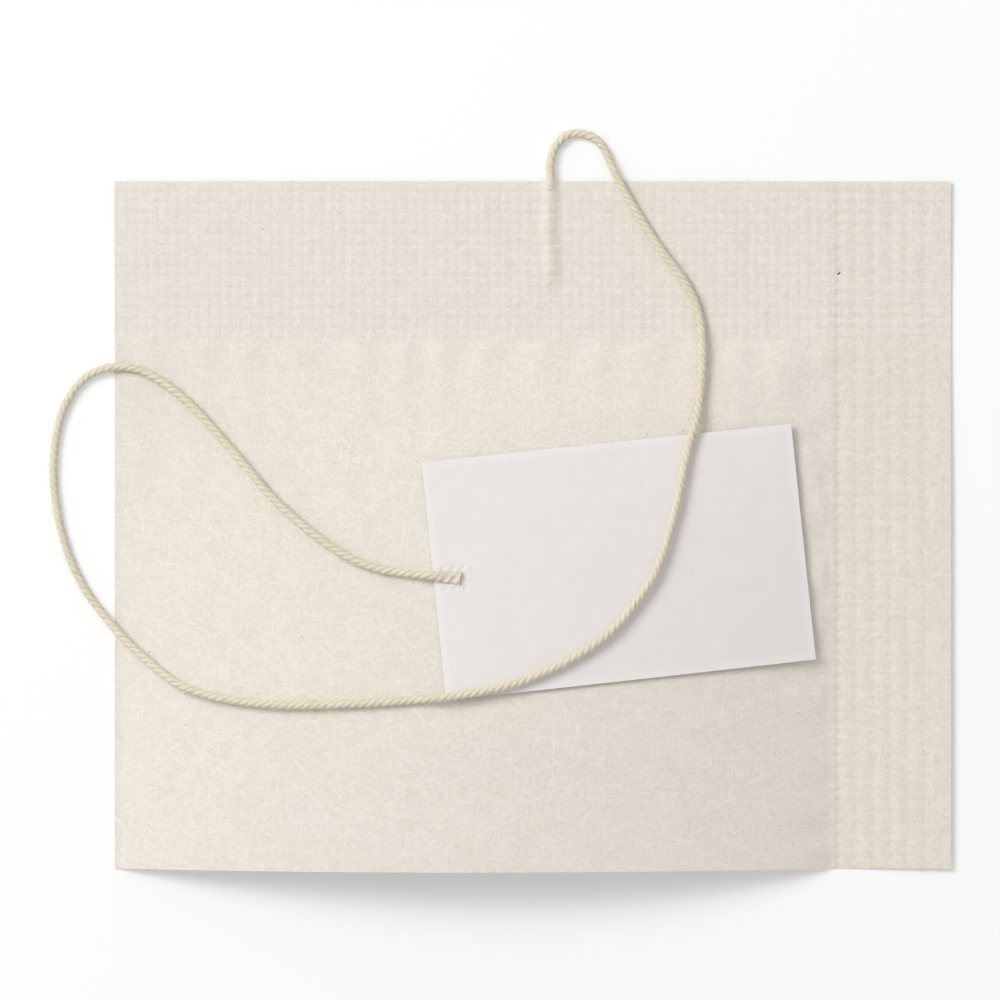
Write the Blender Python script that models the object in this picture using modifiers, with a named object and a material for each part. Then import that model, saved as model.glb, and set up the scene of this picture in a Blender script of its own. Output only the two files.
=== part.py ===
"""Empty heat-seal tea bag: a folded and sealed paper pouch, its cotton string and its tag.

The bag lies on its back panel with the tag on its face. The origin is in the middle of the
back panel, on the surface that the bag lies on. +X points from the fold to the side seal,
+Y from the open mouth to the sealed top edge, and +Z up. All sizes are in metres.
"""

import math

import bmesh
import bpy
import numpy as np

# Pouch
POUCH_WIDTH = 0.0700  # from the fold to the outer edge of the side seal
POUCH_LENGTH = 0.0575  # from the mouth to the outer edge of the top seal
PAPER = 0.0001  # one layer of filter paper
SIDE_SEAL = 0.0100  # width of the sealed band along the side
TOP_SEAL = 0.0132  # width of the sealed band across the top
SEAL_THICKNESS = 0.00016  # two layers, pressed together by the sealing jaws
SEAL_STEP = 0.0006  # the run over which the paper drops from two loose layers to the seal
FOLD_WALL = 0.00025  # paper between the outside of the fold and the hollow
FOLD_ROUNDING = 0.00008
RISE = 0.0056  # how far the front panel stands off the back one in the middle of the mouth
PANEL_CELL = 0.0020  # size of the facets that the front panel's curve is made of
MOUTH_OVERRUN = 0.0020  # how far the cutter for the hollow runs out past the mouth

# Tag
TAG_LENGTH = 0.0310
TAG_WIDTH = 0.0198
TAG_CARD = 0.0002
TAG_CENTRE = (0.0072, -0.0030)
TAG_TURN = math.radians(6.0)  # its right end lies higher up the face than its left end
TAG_CELL = 0.0020

# String
STRING_DIAMETER = 0.0007
STRING_EXIT_X = 0.0015  # where it leaves the top seal
STRING_ON_TAG = 0.0022  # how far its end lies in from the tag's short side
STRING_STEP = 0.00194  # distance between the points of the tube's centreline
STRING_LIFT = 0.0026  # it has risen to what it crosses this far before the edge
STRING_SOFTNESS = 0.0016  # half the length over which a step in its bed is rounded off
RIDGE_LENGTH = 0.0095  # how much of the string is caught in the top seal
RIDGE_RUNOUT = 0.0012  # the ridge comes down to the seal over this length
RIDGE_HEIGHT = 0.0005  # the caught string lifts the paper by this much
RIDGE_REACH = 0.0009  # half the width of the ridge at its foot

CLEARANCE = 0.0003  # between pieces that lie on each other

# The string turns back over the top seal: points from its exit, which is (0, 0)
EXIT_TURN = [
    (0.0000, 0.0013),
    (0.0004, 0.0026),
    (0.0015, 0.0036),
    (0.0030, 0.0036),
    (0.0043, 0.0027),
]
# It lies in one wide loop over the face and the tag, off the fold and back to the tag's end
FACE_LOOP = [
    (0.0070, 0.0292),
    (0.0087, 0.0262),
    (0.0107, 0.0231),
    (0.0127, 0.0204),
    (0.0139, 0.0177),
    (0.0142, 0.0141),
    (0.0138, 0.0096),
    (0.0128, 0.0058),
    (0.0118, 0.0011),
    (0.0103, -0.0036),
    (0.0083, -0.0067),
    (0.0061, -0.0091),
    (0.0029, -0.0112),
    (-0.0016, -0.0131),
    (-0.0073, -0.0142),
    (-0.0153, -0.0148),
    (-0.0227, -0.0148),
    (-0.0287, -0.0136),
    (-0.0325, -0.0110),
    (-0.0355, -0.0080),
    (-0.0380, -0.0044),
    (-0.0396, 0.0001),
    (-0.0401, 0.0050),
    (-0.0393, 0.0096),
    (-0.0370, 0.0126),
    (-0.0333, 0.0131),
    (-0.0294, 0.0108),
    (-0.0254, 0.0066),
    (-0.0214, 0.0020),
    (-0.0170, -0.0016),
    (-0.0128, -0.0036),
]

# Colours (linear), roughness
PAPER_FINISH = ((0.855, 0.807, 0.716, 1.0), 0.90)
STRING_FINISH = ((0.752, 0.658, 0.479, 1.0), 0.95)
TAG_FINISH = ((0.871, 0.855, 0.880, 1.0), 0.75)

# Places that follow from the sizes above
FOLD_X = -POUCH_WIDTH / 2
SIDE_X = POUCH_WIDTH / 2
MOUTH_Y = -POUCH_LENGTH / 2
TOP_Y = POUCH_LENGTH / 2
HOLLOW_FOLD_X = FOLD_X + FOLD_WALL
HOLLOW_SIDE_X = SIDE_X - SIDE_SEAL
HOLLOW_TOP_Y = TOP_Y - TOP_SEAL
STRING_RADIUS = STRING_DIAMETER / 2


def limited(value):
    """A share, kept between 0 and 1."""
    return min(1.0, max(0.0, value))


def eased(value):
    """A share that starts and ends level."""
    value = limited(value)
    return value * value * (3.0 - 2.0 * value)


def hollow_height(x, y):
    """How far apart the two panels are: an arch between fold and side seal, widest at the mouth."""
    middle = (HOLLOW_FOLD_X + HOLLOW_SIDE_X) / 2
    across = (x - middle) / (HOLLOW_SIDE_X - middle)
    along = limited((HOLLOW_TOP_Y - y) / (HOLLOW_TOP_Y - MOUTH_Y))
    return RISE * max(0.0, 1.0 - across * across) * along * (2.0 - along)


def ridge_height(x, y):
    """How far the string that is caught in the top seal lifts the paper over it."""
    across = 1.0 - abs(x - STRING_EXIT_X) / RIDGE_REACH
    along = (y - (TOP_Y - RIDGE_LENGTH)) / RIDGE_RUNOUT
    return RIDGE_HEIGHT * eased(across) * eased(along)


def face_height(x, y):
    """The height of the pouch's upper surface."""
    into_seal = max(x - HOLLOW_SIDE_X, y - HOLLOW_TOP_Y) / SEAL_STEP
    loose = 2 * PAPER
    layers = loose + (SEAL_THICKNESS - loose) * limited(into_seal)
    return layers + hollow_height(x, y) + ridge_height(x, y)


def new_collection(name):
    """A collection of that name in the scene."""
    collection = bpy.data.collections.new(name)
    bpy.context.scene.collection.children.link(collection)
    return collection


def new_material(name, finish):
    """A Principled material with the piece's colour and roughness."""
    colour, roughness = finish
    material = bpy.data.materials.new(name)
    material.use_nodes = True
    shader = material.node_tree.nodes["Principled BSDF"]
    shader.inputs["Base Color"].default_value = colour
    shader.inputs["Roughness"].default_value = roughness
    shader.inputs["Metallic"].default_value = 0.0
    material.diffuse_color = colour
    return material


def new_object(name, data, collection, parent=None):
    """An object for that mesh or curve, under its parent."""
    piece = bpy.data.objects.new(name, data)
    collection.objects.link(piece)
    piece.parent = parent
    return piece


def finished_mesh(name, shape):
    """The mesh of a bmesh, with its faces pointing out."""
    bmesh.ops.recalc_face_normals(shape, faces=shape.faces)
    mesh = bpy.data.meshes.new(name)
    shape.to_mesh(mesh)
    shape.free()
    return mesh


def lines_between(start, end, cell):
    """Evenly spaced places from start to end, about a cell apart."""
    count = max(1, round((end - start) / cell))
    return np.linspace(start, end, count + 1)


def grid_on_lines(columns, rows):
    """A flat grid whose lines run at those places along X and Y."""
    shape = bmesh.new()
    last_column, last_row = len(columns) - 1, len(rows) - 1
    bmesh.ops.create_grid(shape, x_segments=last_column, y_segments=last_row, size=1.0)
    for vertex in shape.verts:
        column = round((vertex.co.x + 1.0) / 2 * last_column)
        row = round((vertex.co.y + 1.0) / 2 * last_row)
        vertex.co = (columns[column], rows[row], 0.0)
    return shape


def closed_below(shape, bottom):
    """Extrude a raised grid down to a flat bottom and close it round its rim."""
    made = bmesh.ops.extrude_face_region(shape, geom=shape.faces[:])["geom"]
    for item in made:
        if isinstance(item, bmesh.types.BMVert):
            item.co.z = bottom
    bmesh.ops.remove_doubles(shape, verts=shape.verts, dist=1e-7)


def pouch_block():
    """The pouch's outer form: the raised face, its flat back and the rounded fold."""
    ridge = STRING_EXIT_X + RIDGE_REACH * np.linspace(-1.0, 1.0, 7)
    columns = np.concatenate(
        [
            [FOLD_X],
            lines_between(HOLLOW_FOLD_X, ridge[0], PANEL_CELL),
            ridge[1:-1],
            lines_between(ridge[-1], HOLLOW_SIDE_X, PANEL_CELL),
            lines_between(HOLLOW_SIDE_X + SEAL_STEP, SIDE_X, SIDE_SEAL),
        ]
    )
    ridge_end = TOP_Y - RIDGE_LENGTH
    rows = np.concatenate(
        [
            lines_between(MOUTH_Y, HOLLOW_TOP_Y, PANEL_CELL),
            [HOLLOW_TOP_Y + SEAL_STEP],
            lines_between(ridge_end, ridge_end + RIDGE_RUNOUT, RIDGE_RUNOUT / 4),
            [TOP_Y],
        ]
    )
    shape = grid_on_lines(columns, rows)
    for vertex in shape.verts:
        vertex.co.z = face_height(vertex.co.x, vertex.co.y)
    closed_below(shape, 0.0)

    back = [face for face in shape.faces if face.calc_center_median().z < 1e-7]
    bmesh.ops.dissolve_faces(shape, faces=back)
    fold = [
        edge
        for edge in shape.edges
        if all(abs(v.co.x - FOLD_X) < 1e-7 for v in edge.verts)
        and abs(edge.verts[0].co.z - edge.verts[1].co.z) < 1e-7
    ]
    bmesh.ops.bevel(
        shape, geom=fold, offset=FOLD_ROUNDING, segments=3, profile=0.5, affect="EDGES"
    )
    return finished_mesh("pouch", shape)


def hollow_block():
    """The space between the panels, pinched flat at fold and seals and open past the mouth."""
    columns = lines_between(HOLLOW_FOLD_X, HOLLOW_SIDE_X, PANEL_CELL)
    rows = np.concatenate(
        [[MOUTH_Y - MOUTH_OVERRUN], lines_between(MOUTH_Y, HOLLOW_TOP_Y, PANEL_CELL)]
    )
    shape = grid_on_lines(columns, rows)
    for vertex in shape.verts:
        vertex.co.z = PAPER + hollow_height(vertex.co.x, vertex.co.y)
    closed_below(shape, PAPER)
    return finished_mesh("pouch_hollow", shape)


def add_pouch(collection, cutters, origin):
    """One sheet of paper, folded, sealed on two sides and open at the mouth."""
    pouch = new_object("pouch", pouch_block(), collection, origin)
    pouch.data.materials.append(new_material("filter_paper", PAPER_FINISH))

    hollow = new_object("pouch_hollow", hollow_block(), cutters)
    hollow.hide_render = True
    hollow.display_type = "WIRE"
    cut = pouch.modifiers.new("hollow", "BOOLEAN")
    cut.operation = "DIFFERENCE"
    cut.object = hollow


def on_tag(along, across):
    """The place of a point of the tag, from its distances along and across it."""
    return (
        TAG_CENTRE[0] + along * math.cos(TAG_TURN) - across * math.sin(TAG_TURN),
        TAG_CENTRE[1] + along * math.sin(TAG_TURN) + across * math.cos(TAG_TURN),
    )


def covered_by_tag(x, y):
    """Whether the tag lies over that place."""
    dx, dy = x - TAG_CENTRE[0], y - TAG_CENTRE[1]
    along = dx * math.cos(TAG_TURN) + dy * math.sin(TAG_TURN)
    across = dy * math.cos(TAG_TURN) - dx * math.sin(TAG_TURN)
    return abs(along) <= TAG_LENGTH / 2 and abs(across) <= TAG_WIDTH / 2


def add_tag(collection, origin):
    """A blank card that follows the face it lies on."""
    shape = grid_on_lines(
        lines_between(-TAG_LENGTH / 2, TAG_LENGTH / 2, TAG_CELL),
        lines_between(-TAG_WIDTH / 2, TAG_WIDTH / 2, TAG_CELL),
    )
    for vertex in shape.verts:
        x, y = on_tag(vertex.co.x, vertex.co.y)
        vertex.co = (x, y, face_height(x, y) + CLEARANCE)
    tag = new_object("tag", finished_mesh("tag", shape), collection, origin)
    tag.data.materials.append(new_material("tag_card", TAG_FINISH))
    card = tag.modifiers.new("card", "SOLIDIFY")
    card.thickness = TAG_CARD
    card.offset = 1.0


def smooth_through(points, step):
    """A smooth curve through the points, as places about a step apart."""
    ends = [2 * points[0] - points[1], *points, 2 * points[-1] - points[-2]]
    curve = []
    for before, start, end, after in zip(ends, ends[1:], ends[2:], ends[3:]):
        count = max(2, math.ceil(np.linalg.norm(end - start) / step))
        for share in np.arange(count) / count:
            curve.append(
                0.5
                * (
                    2 * start
                    + (end - before) * share
                    + (2 * before - 5 * start + 4 * end - after) * share**2
                    + (3 * start - before - 3 * end + after) * share**3
                )
            )
    return np.array([*curve, points[-1]])


def evenly_spaced(curve, count):
    """That many places along the curve, the same distance apart."""
    steps = np.linalg.norm(np.diff(curve, axis=0), axis=1)
    along = np.concatenate([[0.0], np.cumsum(steps)])
    places = np.linspace(0.0, along[-1], count)
    return np.column_stack([np.interp(places, along, curve[:, k]) for k in range(curve.shape[1])])


def bed_height(x, y):
    """The lowest that the string's underside may lie at a place."""
    if covered_by_tag(x, y):
        return face_height(x, y) + CLEARANCE + TAG_CARD + CLEARANCE
    if FOLD_X <= x <= SIDE_X and MOUTH_Y <= y <= TOP_Y:
        return face_height(x, y) + CLEARANCE
    return 0.0


def neighbours(values, reach):
    """The values beside copies of themselves that are moved along by up to reach places."""
    padded = np.pad(values, reach, mode="edge")
    return np.array([padded[k : k + len(values)] for k in range(2 * reach + 1)])


def string_route():
    """The string's centreline: its plan, laid on whatever is under each place."""
    exit_place = np.array([STRING_EXIT_X, TOP_Y + CLEARANCE])
    end_place = np.array(on_tag(-TAG_LENGTH / 2 + STRING_ON_TAG, 0.0))
    turn = [exit_place + np.array(point) for point in EXIT_TURN]
    points = [exit_place, *turn, *[np.array(point) for point in FACE_LOOP], end_place]
    fine_step = STRING_RADIUS / 2
    plan = smooth_through(points, fine_step)
    length = np.linalg.norm(np.diff(plan, axis=0), axis=1).sum()
    plan = evenly_spaced(plan, round(length / fine_step) + 1)

    ahead = np.gradient(plan, axis=0)
    side = np.column_stack([-ahead[:, 1], ahead[:, 0]])
    side *= STRING_RADIUS / np.linalg.norm(side, axis=1)[:, None]
    bed = np.max([[bed_height(*place) for place in plan + side * k] for k in (-1, 0, 1)], axis=0)
    lifted = np.max(neighbours(bed, round(STRING_LIFT / fine_step)), axis=0)
    soft = np.mean(neighbours(lifted, round(STRING_SOFTNESS / fine_step)), axis=0)
    route = np.column_stack([plan, soft + STRING_RADIUS])
    return evenly_spaced(route, round(length / STRING_STEP) + 1)


def add_string(collection, origin):
    """A round cotton string, from the top seal to the tag."""
    curve = bpy.data.curves.new("string", "CURVE")
    curve.dimensions = "3D"
    curve.bevel_depth = STRING_RADIUS
    curve.bevel_resolution = 2
    curve.use_fill_caps = True
    route = string_route()
    spline = curve.splines.new("POLY")
    spline.points.add(len(route) - 1)
    for point, place in zip(spline.points, route):
        point.co = (*place, 1.0)
    string = new_object("string", curve, collection, origin)
    string.data.materials.append(new_material("cotton_string", STRING_FINISH))


def main():
    """Clear the scene and make the bag."""
    for item in list(bpy.data.objects):
        bpy.data.objects.remove(item, do_unlink=True)
    collection = new_collection("empty_tea_bag")
    cutters = new_collection("cutters")
    origin = new_object("tea_bag_origin", None, collection)
    add_pouch(collection, cutters, origin)
    add_tag(collection, origin)
    add_string(collection, origin)


main()
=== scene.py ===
# %% [markdown]
# An empty tea bag, seen from straight above. It is one sheet of filter paper, folded at the left
# and heat-sealed at the right and along the top. A cotton string is caught in the top seal, and a
# small blank tag is pressed onto the string's other end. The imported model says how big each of
# the three pieces is and where it lies. This lesson makes the pieces that are seen in its place.

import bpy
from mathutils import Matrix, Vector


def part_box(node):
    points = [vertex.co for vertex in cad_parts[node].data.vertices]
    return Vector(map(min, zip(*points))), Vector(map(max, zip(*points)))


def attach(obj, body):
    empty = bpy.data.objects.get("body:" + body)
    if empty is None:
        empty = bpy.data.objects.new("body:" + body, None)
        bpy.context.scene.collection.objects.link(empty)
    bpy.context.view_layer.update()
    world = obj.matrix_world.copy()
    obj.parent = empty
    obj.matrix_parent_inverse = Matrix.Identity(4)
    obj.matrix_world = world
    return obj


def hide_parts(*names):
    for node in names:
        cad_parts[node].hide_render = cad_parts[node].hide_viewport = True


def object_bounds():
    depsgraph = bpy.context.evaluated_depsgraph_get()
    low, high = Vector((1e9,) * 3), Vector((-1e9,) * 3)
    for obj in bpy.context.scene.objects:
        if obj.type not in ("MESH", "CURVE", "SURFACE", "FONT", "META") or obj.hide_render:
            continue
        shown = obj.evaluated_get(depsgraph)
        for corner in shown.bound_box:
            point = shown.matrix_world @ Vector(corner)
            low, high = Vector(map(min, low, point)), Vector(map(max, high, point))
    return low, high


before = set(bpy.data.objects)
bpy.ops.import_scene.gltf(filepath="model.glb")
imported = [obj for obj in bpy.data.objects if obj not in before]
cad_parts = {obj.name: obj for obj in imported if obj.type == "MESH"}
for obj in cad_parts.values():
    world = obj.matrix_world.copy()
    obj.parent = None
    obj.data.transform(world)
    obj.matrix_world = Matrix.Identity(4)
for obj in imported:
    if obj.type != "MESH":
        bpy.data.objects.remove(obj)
cad_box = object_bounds()
print("pieces of the packed model:", ", ".join(sorted(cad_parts)))

# %% Tools
import math
import random

import bmesh
import bpy
import numpy as np
from mathutils import Vector, noise

MM = 0.001
scene = bpy.context.scene

# %% [markdown]
# The camera hangs straight above the bag, with a long lens, because a flat thing seen with a
# short one shows its edges in perspective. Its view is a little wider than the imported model.

# %% Camera
LENS = 200.0
SENSOR = 36.0
VIEW_MARGIN = 1.11  # the view's width, in widths of the object

box_low, box_high = cad_box
box_middle = (box_low + box_high) / 2
view_width = VIEW_MARGIN * max(box_high.x - box_low.x, box_high.y - box_low.y)
camera_data = bpy.data.cameras.new("camera")
camera_data.lens = LENS
camera_data.sensor_width = SENSOR
camera = bpy.data.objects.new("camera", camera_data)
camera.location = (box_middle.x, box_middle.y, view_width * LENS / SENSOR)
scene.collection.objects.link(camera)
scene.camera = camera
print("the view is", round(view_width / MM, 1), "mm wide")

# %% [markdown]
# Everything that lies on the pouch needs to know how high the paper is, so the lie of the paper
# comes first. The front panel is a low arch between the fold and the side seal. It is widest at
# the open mouth and comes down to nothing at the top seal. A height for each place would make
# a smooth plastic shell, so paper gets what paper has: waves, puckers beside the seals, and a
# few short creases.

# %% Measures of the pouch
pouch_low, pouch_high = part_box("pouch")
FOLD_X, MOUTH_Y = pouch_low[0], pouch_low[1]
SIDE_X, TOP_Y = pouch_high[0], pouch_high[1]
PAPER = 0.10 * MM  # one layer of filter paper
SEALED = 0.16 * MM  # two layers that the sealing jaws have pressed together
SIDE_SEAL = 10.0 * MM
TOP_SEAL = 13.2 * MM
SEAL_STEP = 0.6 * MM
RISE = 5.6 * MM  # the front panel's height in the middle of the mouth
FOLD_WALL = 0.25 * MM
FOLD_RADIUS = 0.12 * MM
SEAL_X = SIDE_X - SIDE_SEAL  # where the side seal begins
SEAL_Y = TOP_Y - TOP_SEAL  # where the top seal begins
INNER_FOLD_X = FOLD_X + FOLD_WALL
print("pouch:", round((SIDE_X - FOLD_X) / MM, 1), "x", round((TOP_Y - MOUTH_Y) / MM, 1), "mm")


# %% Shares between 0 and 1
def limited(value):
    """A share, kept between 0 and 1."""
    return min(1.0, max(0.0, value))


def eased(value):
    """A share that starts and ends level."""
    value = limited(value)
    return value * value * (3.0 - 2.0 * value)


def wave(x, y, length, seed):
    """Soft random waves of about that length, from -1 to 1."""
    return noise.noise(Vector((x / length, y / length, seed)))


# %% The arch of the front panel
def gape(x, y):
    """How far apart the two panels are."""
    middle = (INNER_FOLD_X + SEAL_X) / 2
    across = (x - middle) / (SEAL_X - middle)
    along = limited((SEAL_Y - y) / (SEAL_Y - MOUTH_Y))
    return RISE * max(0.0, 1.0 - across * across) * along * (2.0 - along)


# %% Where the tag lies
TAG_LENGTH = 31.0 * MM
TAG_WIDTH = 19.8 * MM
TAG_CENTRE = (7.2 * MM, -3.0 * MM)
TAG_TURN = math.radians(6.0)
HELD_REACH = 3.0 * MM  # the tag's weight smooths the paper this far round it


def on_tag(along, across):
    """The place of a point of the tag, from its distances along and across it."""
    return (
        TAG_CENTRE[0] + along * math.cos(TAG_TURN) - across * math.sin(TAG_TURN),
        TAG_CENTRE[1] + along * math.sin(TAG_TURN) + across * math.cos(TAG_TURN),
    )


def from_tag(x, y):
    """The distances along and across the tag, from a place."""
    dx, dy = x - TAG_CENTRE[0], y - TAG_CENTRE[1]
    return (
        dx * math.cos(TAG_TURN) + dy * math.sin(TAG_TURN),
        dy * math.cos(TAG_TURN) - dx * math.sin(TAG_TURN),
    )


def held_flat(x, y):
    """1 under the tag, less beside it, and 0 further off."""
    along, across = from_tag(x, y)
    inside = min(TAG_LENGTH / 2 - abs(along), TAG_WIDTH / 2 - abs(across))
    return eased(1.0 + inside / HELD_REACH)


# %% Waves, puckers and creases
WAVES =[(17.0 * MM, 0.30 * MM), (6.0 * MM, 0.10 * MM), (2.2 * MM, 0.020 * MM)]  # length, height
WAVE_REACH = 5.0 * MM  # they die out this far from the fold and the seals
WAVE_STRETCH = 1.8  # they are longer from side to side than up and down
PUCKER_LENGTH = 4.1 * MM
PUCKER_HEIGHT = 0.11 * MM
PUCKER_REACH = 3.2 * MM
CREASE_REACH = 0.50 * MM
CREASES = [  # start, end, height: short pinches beside the tag and at the band's inner edge
    ((22.9, 7.6), (23.5, 5.9), 0.10),
    ((22.6, 4.9), (23.1, 3.2), 0.13),
    ((23.7, 4.3), (24.1, 1.3), 0.16),
    ((23.9, -1.9), (24.4, -5.2), 0.12),
    ((21.8, -13.9), (24.2, -16.3), 0.12),
    ((-33.4, -18.2), (-30.1, -20.9), 0.10),
    ((-32.9, -20.6), (-30.8, -22.2), 0.08),
]


def waves(x, y):
    """The front panel's soft unevenness, which dies out at the fold and the seals."""
    slack = eased(min(x - FOLD_X, SEAL_X - x, SEAL_Y - y) / WAVE_REACH)
    slack *= 1.0 - 0.8 * held_flat(x, y)
    return slack * sum(
        height * wave(x / WAVE_STRETCH, y, length, 3.7) for length, height in WAVES
    )


def pucker(beside, into):
    """One row of puckers along a seal: beside runs along it, into runs away from it."""
    if into <= 0.0:
        return 0.0
    turn = math.tau * beside / PUCKER_LENGTH + 4.0 * wave(beside, 0.0, 9.0 * MM, 8.1)
    fade = math.exp(-into / PUCKER_REACH) * limited(into / (0.7 * MM))
    return PUCKER_HEIGHT * math.sin(turn) * fade


def distance_to_line(place, start, end):
    """How far a place is from a stretch of straight line."""
    run = end - start
    share = limited((place - start).dot(run) / run.length_squared)
    return (place - start - run * share).length


def creases(x, y):
    """Short pinches in the paper."""
    place = Vector((x, y))
    total = 0.0
    for start, end, height in CREASES:
        away = distance_to_line(place, Vector(start) * MM, Vector(end) * MM)
        if away < CREASE_REACH:
            total += height * MM * eased(1.0 - away / CREASE_REACH)
    return total


# %% [markdown]
# The heated jaws leave their pattern in the paper. Along the top it is a fine square grid of
# grooves. Down the side the grooves run up and down, further apart, with a pit wherever a faint
# cross line meets one. A plain margin is left along the outer edges.

# %% The pattern of the sealing jaws
COLUMN_CELLS = 69  # grid cells between the fold and the side seal, one for each groove
ROW_CELLS = 47  # rows of pits down the side seal
TOP_CELLS = 15
SIDE_FIRST = 0.6 * MM  # the first groove lies this far inside the side seal
SIDE_PITCH = 1.44 * MM
SIDE_GROOVES = 6
COLUMN_PITCH = (SEAL_X - INNER_FOLD_X) / COLUMN_CELLS
ROW_PITCH = (SEAL_Y - MOUTH_Y) / ROW_CELLS
TOP_PITCH = TOP_SEAL / TOP_CELLS
GROOVE_WIDTH = 0.38  # half a groove's width, in pitches
TOP_DEPTH = 0.034 * MM
SIDE_DEPTH = 0.050 * MM
PIT_DEPTH = 0.045 * MM
BACK_SHARE = 0.4  # the jaw under the bag presses this much less
PATCH_LENGTH = 8.0 * MM  # the jaws press harder in some patches than in others


def groove(offset, pitch):
    """1 in the middle of each groove, 0 between them. The grooves lie a pitch apart."""
    away = abs((offset / pitch + 0.5) % 1.0 - 0.5)
    return eased(1.0 - away / GROOVE_WIDTH)


def pressed(x, y):
    """How deep the jaws have pressed the paper."""
    depth = 0.0
    patch = 0.85 + 0.55 * wave(x, y, PATCH_LENGTH, 2.2)
    if y > SEAL_Y:
        inside = limited((TOP_Y - 0.5 * TOP_PITCH - y) / (0.4 * TOP_PITCH))
        across = groove(x - INNER_FOLD_X, COLUMN_PITCH)
        along = groove(y - SEAL_Y, TOP_PITCH)
        depth += TOP_DEPTH * max(across, along) * inside * patch
    if x > SEAL_X:
        last = SEAL_X + SIDE_FIRST + (SIDE_GROOVES - 0.5) * SIDE_PITCH
        inside = limited((last - x) / (0.3 * MM)) * patch
        upright = groove(x - SEAL_X - SIDE_FIRST, SIDE_PITCH)
        cross = groove(y - MOUTH_Y, ROW_PITCH)
        first = 1.8 if x < SEAL_X + SIDE_FIRST + 0.5 * SIDE_PITCH else 1.0
        pit = PIT_DEPTH * first * cross * (0.2 + 0.8 * upright)
        depth += (SIDE_DEPTH * upright + pit) * inside
    return depth


# %% [markdown]
# Heat curls a sealed band a little, so the bands lift off the table towards their outer edges,
# more in some places than in others. The string lies between the layers of the top seal for
# most of its width. The jaws have flattened it there, and the paper over it stands up in a low
# ridge, nipped at every row of the jaws. At the cut edge the string is round again.

# %% The seals' curl and the ridge over the string
SIDE_CURL = 0.55 * MM
TOP_CURL = 0.45 * MM
CURL_LENGTH = 21.0 * MM
STRING_DIAMETER = 0.70 * MM
STRING_RADIUS = STRING_DIAMETER / 2
STRING_EXIT_X = 1.5 * MM
RIDGE_LENGTH = 9.5 * MM
RIDGE_RUNOUT = 2.0 * MM
RIDGE_HEIGHT = 0.34 * MM  # over the flattened string
RIDGE_REACH = 1.00 * MM
ROUND_HEIGHT = 0.58 * MM  # at the cut edge, over the round string
ROUND_REACH = 0.80 * MM
ROUND_LENGTH = 1.6 * MM
RIDGE_WANDER = 0.28 * MM
NIP = 0.24  # how much lower the ridge is where a row of the jaws crosses it


def curl(x, y):
    """How far a sealed band has lifted off the table."""
    side = eased((x - SEAL_X) / SIDE_SEAL) * (0.55 + 0.75 * wave(0.0, y, CURL_LENGTH, 1.3))
    top = eased((y - SEAL_Y) / TOP_SEAL) * (0.50 + 0.80 * wave(x, 0.0, CURL_LENGTH, 5.9))
    return SIDE_CURL * max(0.0, side) + TOP_CURL * max(0.0, top)


def ridge(x, y):
    """How far the string in the seal lifts the paper over it."""
    rounded = eased(1.0 - (TOP_Y - y) / ROUND_LENGTH)
    middle = STRING_EXIT_X + RIDGE_WANDER * (1.0 - rounded) * wave(0.0, y, 4.5 * MM, 7.7)
    reach = RIDGE_REACH + (ROUND_REACH - RIDGE_REACH) * rounded
    nipped = 1.0 - NIP * (1.0 - rounded) * groove(y - SEAL_Y, TOP_PITCH)
    height = RIDGE_HEIGHT * nipped + (ROUND_HEIGHT - RIDGE_HEIGHT) * rounded
    along = (y - (TOP_Y - RIDGE_LENGTH)) / RIDGE_RUNOUT
    return height * eased(1.0 - abs(x - middle) / reach) * eased(along)


# %% The two faces of the pouch
def layers(x, y):
    """The thickness of the paper: two loose layers, or two sealed ones."""
    into_seal = max(x - SEAL_X, y - SEAL_Y) / SEAL_STEP
    return 2 * PAPER + (SEALED - 2 * PAPER) * limited(into_seal)


def roundness(x):
    """The share of the full thickness at the fold, which is half round."""
    short = 1.0 - limited((x - FOLD_X) / FOLD_RADIUS)
    return math.sqrt(1.0 - short * short)


def smooth_front(x, y):
    """The height of the front panel without its small unevenness."""
    return layers(x, y) + gape(x, y) + curl(x, y) + ridge(x, y)


def front_height(x, y):
    """The height of the front panel's upper face."""
    uneven = waves(x, y) + creases(x, y)
    if x < SEAL_X and y < SEAL_Y:
        loose = limited((x - FOLD_X) / WAVE_REACH)
        uneven += loose * (pucker(y, SEAL_X - x) + pucker(x, SEAL_Y - y))
    thin = layers(x, y) * (1.0 - roundness(x)) / 2
    return smooth_front(x, y) + uneven - pressed(x, y) - thin


def back_height(x, y):
    """The height of the back panel's lower face."""
    thin = layers(x, y) * (1.0 - roundness(x)) / 2
    return curl(x, y) + BACK_SHARE * pressed(x, y) + thin


# %% [markdown]
# The tag is a small card that lies on the front panel. It is stiffer than the paper, so it
# follows the arch but not the waves, and its corners stand up a little. A tool with nine pins
# has pressed the string's end into it, and each pin has left a pit with a small rim.

# %% The lie of the tag
TAG_CARD = 0.20 * MM
TAG_GAP = 0.20 * MM  # the card rests on the tops of the waves under it
TAG_CURL = 0.26 * MM  # how far its corners stand up
TAG_BEND = 0.10 * MM  # how far its free end stands up
PIN_PITCH = 0.85 * MM
PINS = 3  # along and across
PIN_RADIUS = 0.30 * MM
PIT_IN_CARD = 0.09 * MM
PIT_RIM = 0.03 * MM
WELD_IN = 1.7 * MM  # how far the middle of the mark lies in from the short side


def weld(along, across):
    """How deep the pins have pressed where they hold the string's end."""
    depth = 0.0
    for i in range(PINS):
        for j in range(PINS):
            pin_along = -TAG_LENGTH / 2 + WELD_IN + (i - 1) * PIN_PITCH
            pin_across = (j - 1) * PIN_PITCH
            away = math.hypot(along - pin_along, across - pin_across) / PIN_RADIUS
            depth += PIT_IN_CARD * eased(1.0 - away) - PIT_RIM * eased(1.0 - abs(away - 1.15) / 0.4)
    return depth


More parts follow.
